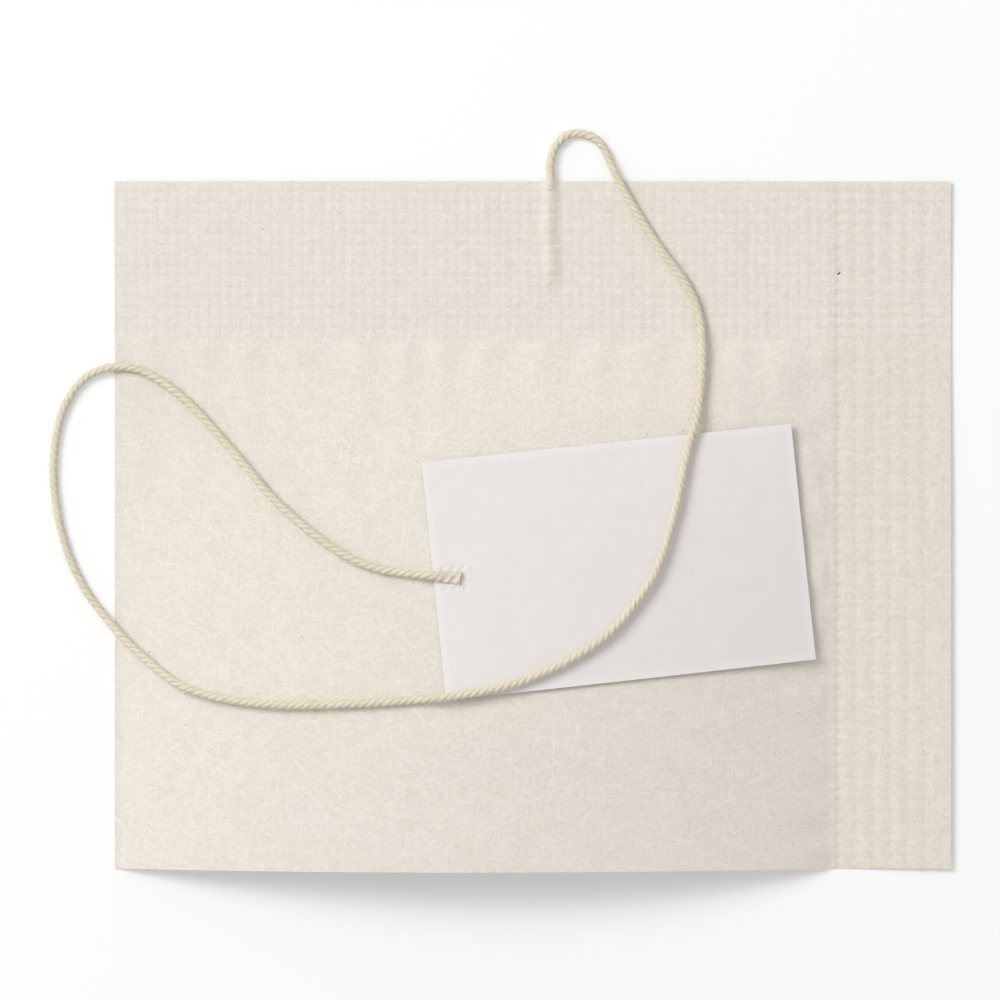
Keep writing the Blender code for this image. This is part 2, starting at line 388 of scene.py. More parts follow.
def tag_underside(x, y):
    """The height of the card's lower face."""
    along, across = from_tag(x, y)
    out_along, out_across = 2 * along / TAG_LENGTH, 2 * across / TAG_WIDTH
    corner = TAG_CURL * out_along**2 * out_across**2
    return smooth_front(x, y) + TAG_GAP + corner + TAG_BEND * max(0.0, out_along) ** 3


# %% [markdown]
# The string comes before the pieces it lies on, because the frame checks its length and its
# spread. It leaves the top seal, turns back over the seal's edge, and lies in one wide loop
# over the face and the tag, off the fold and back to the tag's end. The points are the packed
# model's own, and what lies under each place gives the height there.

# %% The string's route, seen from above
EXIT_TURN = [  # from its exit, which is (0, 0), in mm
    (0.0, 1.3),
    (0.4, 2.6),
    (1.5, 3.6),
    (3.0, 3.6),
    (4.3, 2.7),
]
FACE_LOOP = [  # in mm
    (7.0, 29.2),
    (8.7, 26.2),
    (10.7, 23.1),
    (12.7, 20.4),
    (13.9, 17.7),
    (14.2, 14.1),
    (13.8, 9.6),
    (12.8, 5.8),
    (11.8, 1.1),
    (10.3, -3.6),
    (8.3, -6.7),
    (6.1, -9.1),
    (2.9, -11.2),
    (-1.6, -13.1),
    (-7.3, -14.2),
    (-15.3, -14.8),
    (-22.7, -14.8),
    (-28.7, -13.6),
    (-32.5, -11.0),
    (-35.5, -8.0),
    (-38.0, -4.4),
    (-39.6, 0.1),
    (-40.1, 5.0),
    (-39.3, 9.6),
    (-37.0, 12.6),
    (-33.3, 13.1),
    (-29.4, 10.8),
    (-25.4, 6.6),
    (-21.4, 2.0),
    (-17.0, -1.6),
    (-12.8, -3.6),
]
EXIT_GAP = 0.3 * MM
STRING_ON_TAG = 2.2 * MM  # how far its end lies in from the tag's short side
CAUGHT = 0.7 * MM  # the string that is seen starts this far inside the seal's edge

exit_place = np.array([STRING_EXIT_X, TOP_Y + EXIT_GAP])
end_place = np.array(on_tag(-TAG_LENGTH / 2 + STRING_ON_TAG, 0.0))
plan_points = [exit_place - np.array([0.0, EXIT_GAP + CAUGHT]), exit_place]
plan_points += [exit_place + np.array(point) * MM for point in EXIT_TURN]
plan_points += [np.array(point) * MM for point in FACE_LOOP]
plan_points.append(end_place)
print("the string's route has", len(plan_points), "points")


# %% A smooth line through points
def smooth_through(points, step):
    """A smooth curve through the points, as places about a step apart."""
    ends = [2 * points[0] - points[1], *points, 2 * points[-1] - points[-2]]
    curve = []
    for before, start, end, after in zip(ends, ends[1:], ends[2:], ends[3:]):
        count = max(2, math.ceil(np.linalg.norm(end - start) / step))
        for share in np.arange(count) / count:
            curve.append(
                0.5
                * (
                    2 * start
                    + (end - before) * share
                    + (2 * before - 5 * start + 4 * end - after) * share**2
                    + (3 * start - before - 3 * end + after) * share**3
                )
            )
    return np.array([*curve, points[-1]])


def length_of(line):
    """The length of a line of places."""
    return float(np.linalg.norm(np.diff(line, axis=0), axis=1).sum())


def evenly_spaced(line, step):
    """The line again, as places about a step apart."""
    steps = np.linalg.norm(np.diff(line, axis=0), axis=1)
    along = np.concatenate([[0.0], np.cumsum(steps)])
    places = np.linspace(0.0, along[-1], round(along[-1] / step) + 1)
    return np.column_stack([np.interp(places, along, line[:, k]) for k in range(line.shape[1])])


# %% What the string lies on
STRING_GAP = 0.03 * MM
LINE_STEP = 0.09 * MM
LIFT_REACH = 1.5 * MM  # it has risen to what it crosses this far before the edge
SOFT_REACH = 1.3 * MM  # half the length over which a step in its bed is rounded off
PRESSED_LENGTH = 3.0 * MM  # its end is pressed into the tag over this length
PRESSED_SHARE = 0.36  # and is this much of its height there


def bed_height(x, y):
    """The height of what lies under a place: the tag, the pouch or the table."""
    along, across = from_tag(x, y)
    if abs(along) <= TAG_LENGTH / 2 and abs(across) <= TAG_WIDTH / 2:
        return tag_underside(x, y) + TAG_CARD + STRING_GAP
    if FOLD_X <= x <= SIDE_X and MOUTH_Y <= y <= TOP_Y:
        return smooth_front(x, y) + waves(x, y) + STRING_GAP
    return 0.0


def neighbours(values, reach):
    """The values beside copies of themselves that are moved along by up to reach places."""
    padded = np.pad(values, reach, mode="edge")
    return np.array([padded[k : k + len(values)] for k in range(2 * reach + 1)])


plan = evenly_spaced(smooth_through(plan_points, LINE_STEP / 2), LINE_STEP)
outside = int(round((CAUGHT + EXIT_GAP) / LINE_STEP))
ahead = np.gradient(plan, axis=0)
side = np.column_stack([-ahead[:, 1], ahead[:, 0]])
side *= STRING_RADIUS / np.linalg.norm(side, axis=1)[:, None]
bed = np.max([[bed_height(*place) for place in plan + side * k] for k in (-1, 0, 1)], axis=0)
bed[:outside] = curl(STRING_EXIT_X, TOP_Y)
lifted = np.max(neighbours(bed, round(LIFT_REACH / LINE_STEP)), axis=0)
lifted[:outside] = bed[:outside]
soft_bed = np.mean(neighbours(lifted, round(SOFT_REACH / LINE_STEP)), axis=0)
string_line = evenly_spaced(np.column_stack([plan, soft_bed + STRING_RADIUS]), LINE_STEP)
to_end = np.arange(len(string_line))[::-1] * LINE_STEP
string_flatness = np.array(
    [1.0 - (1.0 - PRESSED_SHARE) * eased(1.2 * (1.0 - away / PRESSED_LENGTH)) for away in to_end]
)
string_line[:, 2] -= STRING_RADIUS * (1.0 - string_flatness)
print("the string is", round(length_of(string_line) / MM, 1), "mm long")

# %% [markdown]
# A cotton string is three plies twisted round each other, soft enough that they all but run
# together. A plain tube with a bump would keep a smooth outline, so the plies are in the mesh,
# and so are its thick and thin places. A flat strip is rolled up round the route: its section
# is three overlapping rounds, which turn as they go along. The strip keeps its own map of
# across and along, which the cotton finish reads.

# %% The string's section
PLIES = 3
PLY_RADIUS = 0.245 * MM
PLY_OFFSET = STRING_RADIUS - PLY_RADIUS  # from the middle of the string to that of a ply
TURN_LENGTH = 2.0 * MM  # a ply goes once round in this length
SECTION_POINTS = 24
FRAYED = 0.7 * MM  # the cut end opens over this length
SPREAD = 0.75  # how much of the height that it loses, a pressed string gains in width
SLUBS = [(4.0 * MM, 0.07), (0.9 * MM, 0.05)]  # thick and thin places: length and share
STRAND_ROUGHNESS = 0.05
STRING_PITS = 1.6  # a pit in the soft string, in depths of a pit in the card


def ply_outline(angle):
    """How far the outline of the three plies is from the middle, at an angle."""
    ply = math.tau / PLIES
    off = (angle + ply / 2) % ply - ply / 2
    reach = PLY_RADIUS**2 - (PLY_OFFSET * math.sin(off)) ** 2
    return PLY_OFFSET * math.cos(off) + math.sqrt(reach)


SECTION = []  # angle and radius, from one valley between two plies round to the same valley
for k in range(SECTION_POINTS + 1):
    angle = math.tau * (k / SECTION_POINTS + 0.5 / PLIES)
    SECTION.append((angle, ply_outline(angle)))
print("valleys are", round(SECTION[0][1] / MM, 3), "mm from the middle of the string")


# %% Helpers for meshes and pieces
def finished_mesh(name, shape, sharp=math.radians(40.0)):
    """The mesh of a closed bmesh: faces pointing out, smooth but for its sharp edges."""
    bmesh.ops.recalc_face_normals(shape, faces=shape.faces)
    for face in shape.faces:
        face.smooth = True
    for edge in shape.edges:
        edge.smooth = len(edge.link_faces) != 2 or edge.calc_face_angle() < sharp
    mesh = bpy.data.meshes.new(name)
    shape.to_mesh(mesh)
    shape.free()
    return mesh


def open_edges(shape):
    """How many edges don't lie between two faces."""
    return sum(len(edge.link_faces) != 2 for edge in shape.edges)


def new_piece(name, mesh, material, node):
    """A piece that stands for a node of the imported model."""
    piece = bpy.data.objects.new(name, mesh)
    scene.collection.objects.link(piece)
    mesh.materials.append(material)
    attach(piece, "root")
    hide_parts(node)
    return piece


# %% Roll the strip up round the route
def thickness(ring, angle):
    """The string's unevenness at a ring, and that of the strands which run along the plies."""
    along = ring * LINE_STEP
    slubs = sum(share * noise.noise(Vector((along / size, 3.3, 0.7))) for size, share in SLUBS)
    around = Vector((2.6 * math.cos(angle), 2.6 * math.sin(angle), along / (1.4 * MM)))
    return 1.0 + slubs + STRAND_ROUGHNESS * noise.noise(around)


def rolled_string():
    """The three-ply string as one closed bmesh."""
    rings = len(string_line) - 1
    tangent = np.gradient(string_line, axis=0)
    tangent /= np.linalg.norm(tangent, axis=1)[:, None]
    sideways = np.cross(tangent, [0.0, 0.0, 1.0])
    sideways /= np.linalg.norm(sideways, axis=1)[:, None]
    upward = np.cross(sideways, tangent)

    shape = bmesh.new()
    shape.loops.layers.uv.new("along_string")
    bmesh.ops.create_grid(
        shape, x_segments=SECTION_POINTS, y_segments=rings, size=1.0, calc_uvs=True
    )
    for vertex in shape.verts:
        point = round((vertex.co.x + 1.0) / 2 * SECTION_POINTS)
        ring = round((vertex.co.y + 1.0) / 2 * rings)
        angle, radius = SECTION[point]
        radius *= thickness(ring, angle)
        angle += math.tau * ring * LINE_STEP / TURN_LENGTH
        from_end = (rings - ring) * LINE_STEP
        radius *= 1.0 + 0.22 * eased(1.0 - from_end / FRAYED)
        flat = string_flatness[ring]
        out = math.cos(angle) * radius * (1.0 + SPREAD * (1.0 - flat))
        up = math.sin(angle) * radius * flat
        vertex.co = Vector(string_line[ring] + sideways[ring] * out + upward[ring] * up)
        if from_end < PRESSED_LENGTH and up > 0.0:
            pit = weld(*from_tag(vertex.co.x, vertex.co.y))
            vertex.co.z -= min(STRING_PITS * pit, up)
    bmesh.ops.remove_doubles(shape, verts=shape.verts, dist=1e-7)
    rims = [edge for edge in shape.edges if len(edge.link_faces) == 1]
    bmesh.ops.holes_fill(shape, edges=rims, sides=SECTION_POINTS)
    return shape


string_shape = rolled_string()
print("string:", len(string_shape.faces), "faces,", open_edges(string_shape), "open edges")

# %% [markdown]
# Cotton is hairy. Single fibres stand off the string, far thinner than it is, and soften its
# outline. Each one is a thin three-sided tube that starts inside a ply and leaves it in a
# curve. A few more stick out of the cut end.

# %% Loose fibres
FIBRES = 640
FIBRE_RADIUS = 0.0085 * MM
FIBRE_REACH = 0.34 * MM  # how far a fibre stands off
FIBRE_RUN = 1.2 * MM  # how far it runs along the string
FIBRE_STEPS = 5
CLEAR_END = 40  # rings at the string's two ends that have none
END_FIBRES = 26
END_FIBRE_RUN = 0.75 * MM
chance = random.Random(41)


def fibre_path(ring):
    """The places along a fibre that leaves the string at that ring."""
    start = Vector(string_line[ring])
    ahead = (Vector(string_line[ring + 3]) - start).normalized() * chance.choice((-1.0, 1.0))
    sideways = ahead.cross(Vector((0.0, 0.0, 1.0))).normalized()
    turn = chance.uniform(-0.5, math.pi + 0.5)
    outward = sideways * math.cos(turn) + sideways.cross(ahead) * math.sin(turn)
    run = FIBRE_RUN * chance.uniform(0.4, 1.0)
    reach = FIBRE_REACH * chance.uniform(0.25, 1.0) ** 2
    bend = chance.uniform(-0.5, 0.5)
    path = []
    for step in range(FIBRE_STEPS + 1):
        share = step / FIBRE_STEPS
        off = STRING_RADIUS * 0.7 + (reach + STRING_RADIUS * 0.25) * math.sin(2.0 * share)
        drift = sideways * bend * run * share * share
        path.append(start + ahead * run * share + outward * off + drift)
    return path


def end_fibre_path():
    """The places along a fibre that sticks out of the string's cut end."""
    start = Vector(string_line[-1])
    ahead = (start - Vector(string_line[-4])).normalized()
    sideways = ahead.cross(Vector((0.0, 0.0, 1.0))).normalized()
    across = chance.uniform(-1.0, 1.0)
    run = END_FIBRE_RUN * chance.uniform(0.25, 1.0)
    rise = STRING_RADIUS * PRESSED_SHARE * chance.uniform(-0.5, 0.7)
    path = []
    for step in range(FIBRE_STEPS + 1):
        share = step / FIBRE_STEPS
        spread = across * (1.2 * STRING_RADIUS + 0.45 * run * share * share)
        level = rise * (1.0 - 0.4 * share)
        path.append(start + ahead * run * (share - 0.3) + sideways * spread + Vector((0, 0, level)))
    return path


def add_fibre(shape, path):
    """A thin tube along those places."""
    made = bmesh.ops.create_circle(shape, segments=3, radius=FIBRE_RADIUS, cap_ends=True)
    facing = (path[1] - path[0]).to_track_quat("Z", "Y")
    for vertex in made["verts"]:
        vertex.co = facing @ vertex.co + path[0]
    face = next(iter(set(made["verts"][0].link_faces)))
    for before, after in zip(path, path[1:]):
        grown = bmesh.ops.extrude_discrete_faces(shape, faces=[face])
        face = grown["faces"][0]
        bmesh.ops.translate(shape, verts=face.verts, vec=after - before)


def loose_fibres():
    """All the loose fibres, in a mesh of their own, where each step has little to search."""
    shape = bmesh.new()
    for _ in range(FIBRES):
        add_fibre(shape, fibre_path(chance.randrange(CLEAR_END, len(string_line) - CLEAR_END)))
    for _ in range(END_FIBRES):
        add_fibre(shape, end_fibre_path())
    places = shape.loops.layers.uv.new("along_string")
    for face in shape.faces:
        for corner in face.loops:
            corner[places].uv = (0.5 / PLIES, 0.5)
    mesh = bpy.data.meshes.new("loose_fibres")
    shape.to_mesh(mesh)
    shape.free()
    return mesh


string_shape.from_mesh(loose_fibres())
print("with fibres:", len(string_shape.faces), "faces")

# %% [markdown]
# A finish is a tree of nodes. Four short helpers keep its making readable: one adds a node and
# links or sets its inputs, one does a sum, one turns a range of values into a share, and one
# starts a node group, for an effect that more than one finish uses.

# %% Helpers for finishes
def add_node(tree, kind, inputs=(), **settings):
    """A node with its settings, and its inputs linked or set."""
    node = tree.nodes.new(kind)
    for name, value in settings.items():
        setattr(node, name, value)
    for name, value in dict(inputs).items():
        if isinstance(value, bpy.types.NodeSocket):
            tree.links.new(value, node.inputs[name])
        else:
            node.inputs[name].default_value = value
    return node


def maths(tree, operation, *values):
    """The result of one sum."""
    return add_node(tree, "ShaderNodeMath", enumerate(values), operation=operation).outputs[0]


def share_of(tree, value, low, high, out_low=0.0, out_high=1.0):
    """A value's place between low and high, eased at both ends."""
    inputs = {"Value": value, "From Min": low, "From Max": high}
    inputs.update({"To Min": out_low, "To Max": out_high})
    node = add_node(tree, "ShaderNodeMapRange", inputs, interpolation_type="SMOOTHSTEP")
    return node.outputs["Result"]


def tinted(tree, share, colour, other, blend="MIX"):
    """A colour that turns into the other one as the share grows."""
    node = add_node(
        tree, "ShaderNodeMix", {0: share, 6: colour, 7: other}, data_type="RGBA", blend_type=blend
    )
    return node.outputs[2]


def new_group(name, inputs, outputs):
    """A node group with number or vector inputs and number outputs."""
    tree = bpy.data.node_groups.new(name, "ShaderNodeTree")
    for socket, kind in inputs:
        tree.interface.new_socket(socket, in_out="INPUT", socket_type=kind)
    for socket in outputs:
        tree.interface.new_socket(socket, in_out="OUTPUT", socket_type="NodeSocketFloat")
    return tree, add_node(tree, "NodeGroupInput"), add_node(tree, "NodeGroupOutput")


def use_group(tree, group, inputs):
    """A group placed in a finish."""
    node = add_node(tree, "ShaderNodeGroup", node_tree=group)
    for name, value in inputs.items():
        if isinstance(value, bpy.types.NodeSocket):
            tree.links.new(value, node.inputs[name])
        else:
            node.inputs[name].default_value = value
    return node


def new_finish(name, roughness, specular, sheen):
    """A material and its Principled shader. What is the same all over is set here."""
    material = bpy.data.materials.new(name)
    material.use_nodes = True
    shader = material.node_tree.nodes["Principled BSDF"]
    shader.inputs["Roughness"].default_value = roughness
    shader.inputs["Specular IOR Level"].default_value = specular
    shader.inputs["Sheen Weight"].default_value = sheen
    return material, material.node_tree, shader


# %% [markdown]
# Paper is a felt of fibres. Seen close, single fibres lie across each other in all directions,
# and seen from further off the sheet is cloudy, because the pulp never settles quite evenly.
# Each direction of fibres is a noise that is stretched along one line, and only its narrow
# middle band is kept. The fibres and clouds are a group, because both papers use them.

# %% The felt of the paper
VECTOR, NUMBER = "NodeSocketVector", "NodeSocketFloat"
FIBRE_TURNS = [8.0, 47.0, 98.0, 151.0]  # degrees
FIBRE_EDGE = 0.045  # how much of the noise to either side of its middle is a fibre


def paper_felt():
    """Node group: fibres, clouds and a fine tooth, from a place in metres."""
    inputs = [("Place", VECTOR), ("Fibre Width", NUMBER), ("Fibre Length", NUMBER)]
    inputs.append(("Cloud Size", NUMBER))
    tree, entry, result = new_group("paper felt", inputs, ["Fibres", "Clouds", "Tooth"])
    across = maths(tree, "DIVIDE", 1.0, entry.outputs["Fibre Width"])
    along = maths(tree, "DIVIDE", 1.0, entry.outputs["Fibre Length"])
    stretch = add_node(tree, "ShaderNodeCombineXYZ", {"X": along, "Y": across, "Z": along})
    fibres = None
    for turn in FIBRE_TURNS:
        turned = add_node(
            tree,
            "ShaderNodeVectorRotate",
            {"Vector": entry.outputs["Place"], "Angle": math.radians(turn)},
            rotation_type="Z_AXIS",
        )
        place = add_node(
            tree,
            "ShaderNodeVectorMath",
            {0: turned.outputs[0], 1: stretch.outputs[0]},
            operation="MULTIPLY",
        )
        web = add_node(
            tree,
            "ShaderNodeTexNoise",
            {"Vector": place.outputs[0], "Scale": 1.0, "Detail": 1.0, "Distortion": 0.6},
        )
        off = maths(tree, "ABSOLUTE", maths(tree, "SUBTRACT", web.outputs["Fac"], 0.5))
        one = share_of(tree, off, FIBRE_EDGE, 0.0)
        fibres = one if fibres is None else maths(tree, "MAXIMUM", fibres, one)
    tree.links.new(fibres, result.inputs["Fibres"])
    cloud_scale = maths(tree, "DIVIDE", 1.0, entry.outputs["Cloud Size"])
    for name, times, detail in (("Clouds", 1.0, 3.0), ("Tooth", 26.0, 2.0)):
        scale = maths(tree, "MULTIPLY", cloud_scale, times)
        inputs = {"Vector": entry.outputs["Place"], "Scale": scale, "Detail": detail}
        puffs = add_node(tree, "ShaderNodeTexNoise", inputs)
        tree.links.new(puffs.outputs["Fac"], result.inputs[name])
    return tree


felt_group = paper_felt()


# %% Specks
def paper_specks():
    """Node group: rare small specks of bark in the pulp."""
    inputs = [("Place", VECTOR), ("Spacing", NUMBER), ("Size", NUMBER), ("Rarity", NUMBER)]
    tree, entry, result = new_group("paper specks", inputs, ["Specks"])
    scale = maths(tree, "DIVIDE", 1.0, entry.outputs["Spacing"])
    cells = add_node(
        tree,
        "ShaderNodeTexVoronoi",
        {"Vector": entry.outputs["Place"], "Scale": scale},
        voronoi_dimensions="2D",
    )
    size = maths(tree, "MULTIPLY", entry.outputs["Size"], scale)
    dot = share_of(tree, cells.outputs["Distance"], size, 0.0)
    chosen = add_node(tree, "ShaderNodeSeparateColor", {"Color": cells.outputs["Color"]})
    rare = maths(tree, "GREATER_THAN", chosen.outputs[0], entry.outputs["Rarity"])
    tree.links.new(maths(tree, "MULTIPLY", dot, rare), result.inputs["Specks"])
    return tree


specks_group = paper_specks()

# %% [markdown]
# The jaws' grooves are in the mesh, four cells to a pitch. The finish adds what is finer than
# that: a crisp line in the bottom of each groove, with shade painted into it, and the far finer
# lines of the wire that the pulp was caught on. One group makes such lines across a place's X or
# Y, for every set of them.

# %% Groove lines
def groove_lines():
    """Node group: narrow lines that lie a pitch apart."""
    inputs = [("Offset", NUMBER), ("Pitch", NUMBER), ("Width", NUMBER)]
    tree, entry, result = new_group("groove lines", inputs, ["Lines"])
    turns = maths(tree, "DIVIDE", entry.outputs["Offset"], entry.outputs["Pitch"])
    shifted = maths(tree, "FRACT", maths(tree, "ADD", turns, 0.5))
    off = maths(tree, "ABSOLUTE", maths(tree, "SUBTRACT", shifted, 0.5))
    tree.links.new(share_of(tree, off, entry.outputs["Width"], 0.0), result.inputs["Lines"])
    return tree


lines_group = groove_lines()


# %% Filter paper
IVORY = (0.868, 0.812, 0.722, 1.0)
# a deeper ivory for clouds, the side seal and the wire lines, and the shade painted into the
# grooves
DEEP_IVORY = (0.805, 0.742, 0.645, 1.0)
WHITE_FIBRE = (0.915, 0.878, 0.812, 1.0)
SPECK_BROWN = (0.36, 0.27, 0.17, 1.0)
STRING_SHADE = (0.790, 0.715, 0.575, 1.0)
WIRE_PITCH = 0.52 * MM  # the wire that the pulp is caught on leaves fine lines this far apart


def filter_paper():
    """The pouch's finish: ivory felt, cloudy and finely lined, with the jaws' grooves and shade
    painted into them.
    """
    material, tree, shader = new_finish("filter_paper", 0.92, 0.22, 0.12)
    place = add_node(tree, "ShaderNodeTexCoord").outputs["Object"]
    apart = add_node(tree, "ShaderNodeSeparateXYZ", {"Vector": place})
    x, y = apart.outputs["X"], apart.outputs["Y"]
    felt = use_group(
        tree,
        felt_group,
        {
            "Place": place,
            "Fibre Width": 0.19 * MM,
            "Fibre Length": 2.6 * MM,
            "Cloud Size": 2.6 * MM,
        },
    ).outputs
    specks = use_group(
        tree,
        specks_group,
        {"Place": place, "Spacing": 3.2 * MM, "Size": 0.11 * MM, "Rarity": 0.93},
    ).outputs["Specks"]

    in_top = share_of(tree, y, SEAL_Y - 0.15 * MM, SEAL_Y + 0.25 * MM)
    in_side = share_of(tree, x, SEAL_X - 0.15 * MM, SEAL_X + 0.25 * MM)

    def times(*values):
        product = values[0]
        for value in values[1:]:
            product = maths(tree, "MULTIPLY", product, value)
        return product

    def lines(value, start, pitch, width):
        offset = maths(tree, "SUBTRACT", value, start)
        inputs = {"Offset": offset, "Pitch": pitch, "Width": width}
        return use_group(tree, lines_group, inputs).outputs["Lines"]

    top_mesh = maths(
        tree,
        "MAXIMUM",
        lines(x, INNER_FOLD_X, COLUMN_PITCH, 0.20),
        lines(y, SEAL_Y, TOP_PITCH, 0.20),
    )
    top_mesh = times(top_mesh, in_top, 0.6)
    side_upright = lines(x, SEAL_X + SIDE_FIRST, SIDE_PITCH, 0.22)
    side_cross = lines(y, MOUTH_Y, ROW_PITCH, 0.26)
    # the first groove of the side seal has deeper pits, and more shade painted into them
    first = share_of(tree, x, SEAL_X + SIDE_FIRST + 0.6 * MM, SEAL_X + SIDE_FIRST + 0.4 * MM)
    dot_depth = maths(tree, "ADD", 0.5, times(first, 0.9))
    side_mesh = maths(tree, "ADD", times(side_upright, 0.5), times(side_cross, 0.22))
    side_mesh = maths(tree, "ADD", side_mesh, times(side_upright, side_cross, dot_depth))
    margin = share_of(tree, x, SIDE_X - 1.9 * MM, SIDE_X - 2.2 * MM)
    side_mesh = times(side_mesh, in_side, margin)
    patch = share_of(tree, felt["Clouds"], 0.35, 0.65, 0.65, 1.0)
    grooves = times(maths(tree, "MAXIMUM", side_mesh, top_mesh), patch)
    wire = maths(
        tree,
        "MAXIMUM",
        lines(x, 0.0, WIRE_PITCH, 0.45),
        lines(y, 0.0, WIRE_PITCH, 0.45),
    )

    cloudy = share_of(tree, felt["Clouds"], 0.30, 0.70)
    colour = tinted(tree, times(cloudy, 0.26), IVORY, DEEP_IVORY)
    colour = tinted(tree, times(in_side, 0.42), colour, DEEP_IVORY)
    colour = tinted(tree, times(in_top, 0.22), colour, WHITE_FIBRE)
    colour = tinted(tree, times(wire, 0.05), colour, DEEP_IVORY)
    colour = tinted(tree, times(felt["Fibres"], 0.42), colour, WHITE_FIBRE)
    # painted shade in the bottoms of the grooves and pits
    colour = tinted(tree, times(grooves, 0.40), colour, DEEP_IVORY)
    over_string = share_of(
        tree,
        maths(tree, "ABSOLUTE", maths(tree, "SUBTRACT", x, STRING_EXIT_X)),
        0.75 * MM,
        0.20 * MM,
    )
    caught = share_of(tree, y, TOP_Y - RIDGE_LENGTH, TOP_Y - RIDGE_LENGTH + RIDGE_RUNOUT)
    colour = tinted(tree, times(over_string, caught, 0.45), colour, STRING_SHADE)
    colour = tinted(tree, times(specks, 0.7), colour, SPECK_BROWN)
    tree.links.new(colour, shader.inputs["Base Color"])

    height = maths(tree, "ADD", times(felt["Fibres"], 0.5), times(felt["Tooth"], 0.8))
    height = maths(tree, "ADD", height, times(felt["Clouds"], 1.6))
    height = maths(tree, "SUBTRACT", height, times(wire, 0.12))
    height = maths(tree, "SUBTRACT", height, times(grooves, 0.9))
    bump = add_node(
        tree, "ShaderNodeBump", {"Strength": 0.75, "Distance": 0.03 * MM, "Height": height}
    )
    tree.links.new(bump.outputs["Normal"], shader.inputs["Normal"])
    rough = share_of(tree, felt["Clouds"], 0.2, 0.8, 0.86, 0.97)
    tree.links.new(rough, shader.inputs["Roughness"])
    return material


# %% [markdown]
# The tag's card is whiter and harder than the filter paper, and its plain white beside the
# pouch's ivory is what makes it stand out. It has finer felt, and a pale band along its cut
# edges is a painted highlight.

# %% Tag card
PLAIN_WHITE = (0.842, 0.805, 0.790, 1.0)
GREY_WHITE = (0.800, 0.762, 0.750, 1.0)
# the fibres' white, and the highlight painted along the card's edges
FIBRE_AND_HIGHLIGHT_WHITE = (0.900, 0.872, 0.860, 1.0)


def tag_card():
    """The tag's finish: smooth white card, faintly mottled, with a highlight painted along its
    edges.
    """
    material, tree, shader = new_finish("tag_card", 0.8, 0.3, 0.05)
    place = add_node(tree, "ShaderNodeTexCoord").outputs["Object"]
    on_card = add_node(tree, "ShaderNodeUVMap", uv_map="on_tag").outputs["UV"]
    apart = add_node(tree, "ShaderNodeSeparateXYZ", {"Vector": on_card})
    felt = use_group(
        tree,
        felt_group,
        {
            "Place": place,
            "Fibre Width": 0.10 * MM,
            "Fibre Length": 1.1 * MM,
            "Cloud Size": 1.6 * MM,
        },
    ).outputs
    specks = use_group(
        tree,
        specks_group,
        {"Place": place, "Spacing": 4.5 * MM, "Size": 0.10 * MM, "Rarity": 0.90},
    ).outputs["Specks"]

    # the band along each edge where a highlight is painted
    def edge_highlight_share(value, length):
        off = maths(tree, "ABSOLUTE", maths(tree, "SUBTRACT", value, 0.5))
        inner = 0.5 - 0.9 * MM / length
        return share_of(tree, off, inner, 0.5)

    edge = maths(
        tree,
        "MAXIMUM",
        edge_highlight_share(apart.outputs["X"], TAG_LENGTH),
        edge_highlight_share(apart.outputs["Y"], TAG_WIDTH),
    )
    cloudy = share_of(tree, felt["Clouds"], 0.30, 0.70)
    colour = tinted(tree, maths(tree, "MULTIPLY", cloudy, 0.45), PLAIN_WHITE, GREY_WHITE)
    colour = tinted(tree, maths(tree, "MULTIPLY", felt["Fibres"], 0.28), colour, FIBRE_AND_HIGHLIGHT_WHITE)
    # painted highlight: a pale band along all four edges of the card
    colour = tinted(tree, maths(tree, "MULTIPLY", edge, 0.6), colour, FIBRE_AND_HIGHLIGHT_WHITE)
    colour = tinted(tree, maths(tree, "MULTIPLY", specks, 0.5), colour, SPECK_BROWN)
    tree.links.new(colour, shader.inputs["Base Color"])
    height = maths(tree, "MULTIPLY", felt["Fibres"], 0.25)
    height = maths(tree, "ADD", height, maths(tree, "MULTIPLY", felt["Tooth"], 0.5))
    bump = add_node(
        tree, "ShaderNodeBump", {"Strength": 0.45, "Distance": 0.015 * MM, "Height": height}
    )
    tree.links.new(bump.outputs["Normal"], shader.inputs["Normal"])
    tree.links.new(share_of(tree, felt["Clouds"], 0.2, 0.8, 0.70, 0.84), shader.inputs["Roughness"])
    return material


# %% [markdown]
# The string's finish follows its own map, so that the fibres run with the plies and shade is
# painted into the valleys between the plies all the way along.

# %% Cotton
CREAM = (0.862, 0.785, 0.620, 1.0)
# a darker cream for some fibres, and the shade painted between the plies
DEEP_CREAM_AND_SHADE = (0.690, 0.585, 0.410, 1.0)
PALE_COTTON = (0.915, 0.862, 0.735, 1.0)


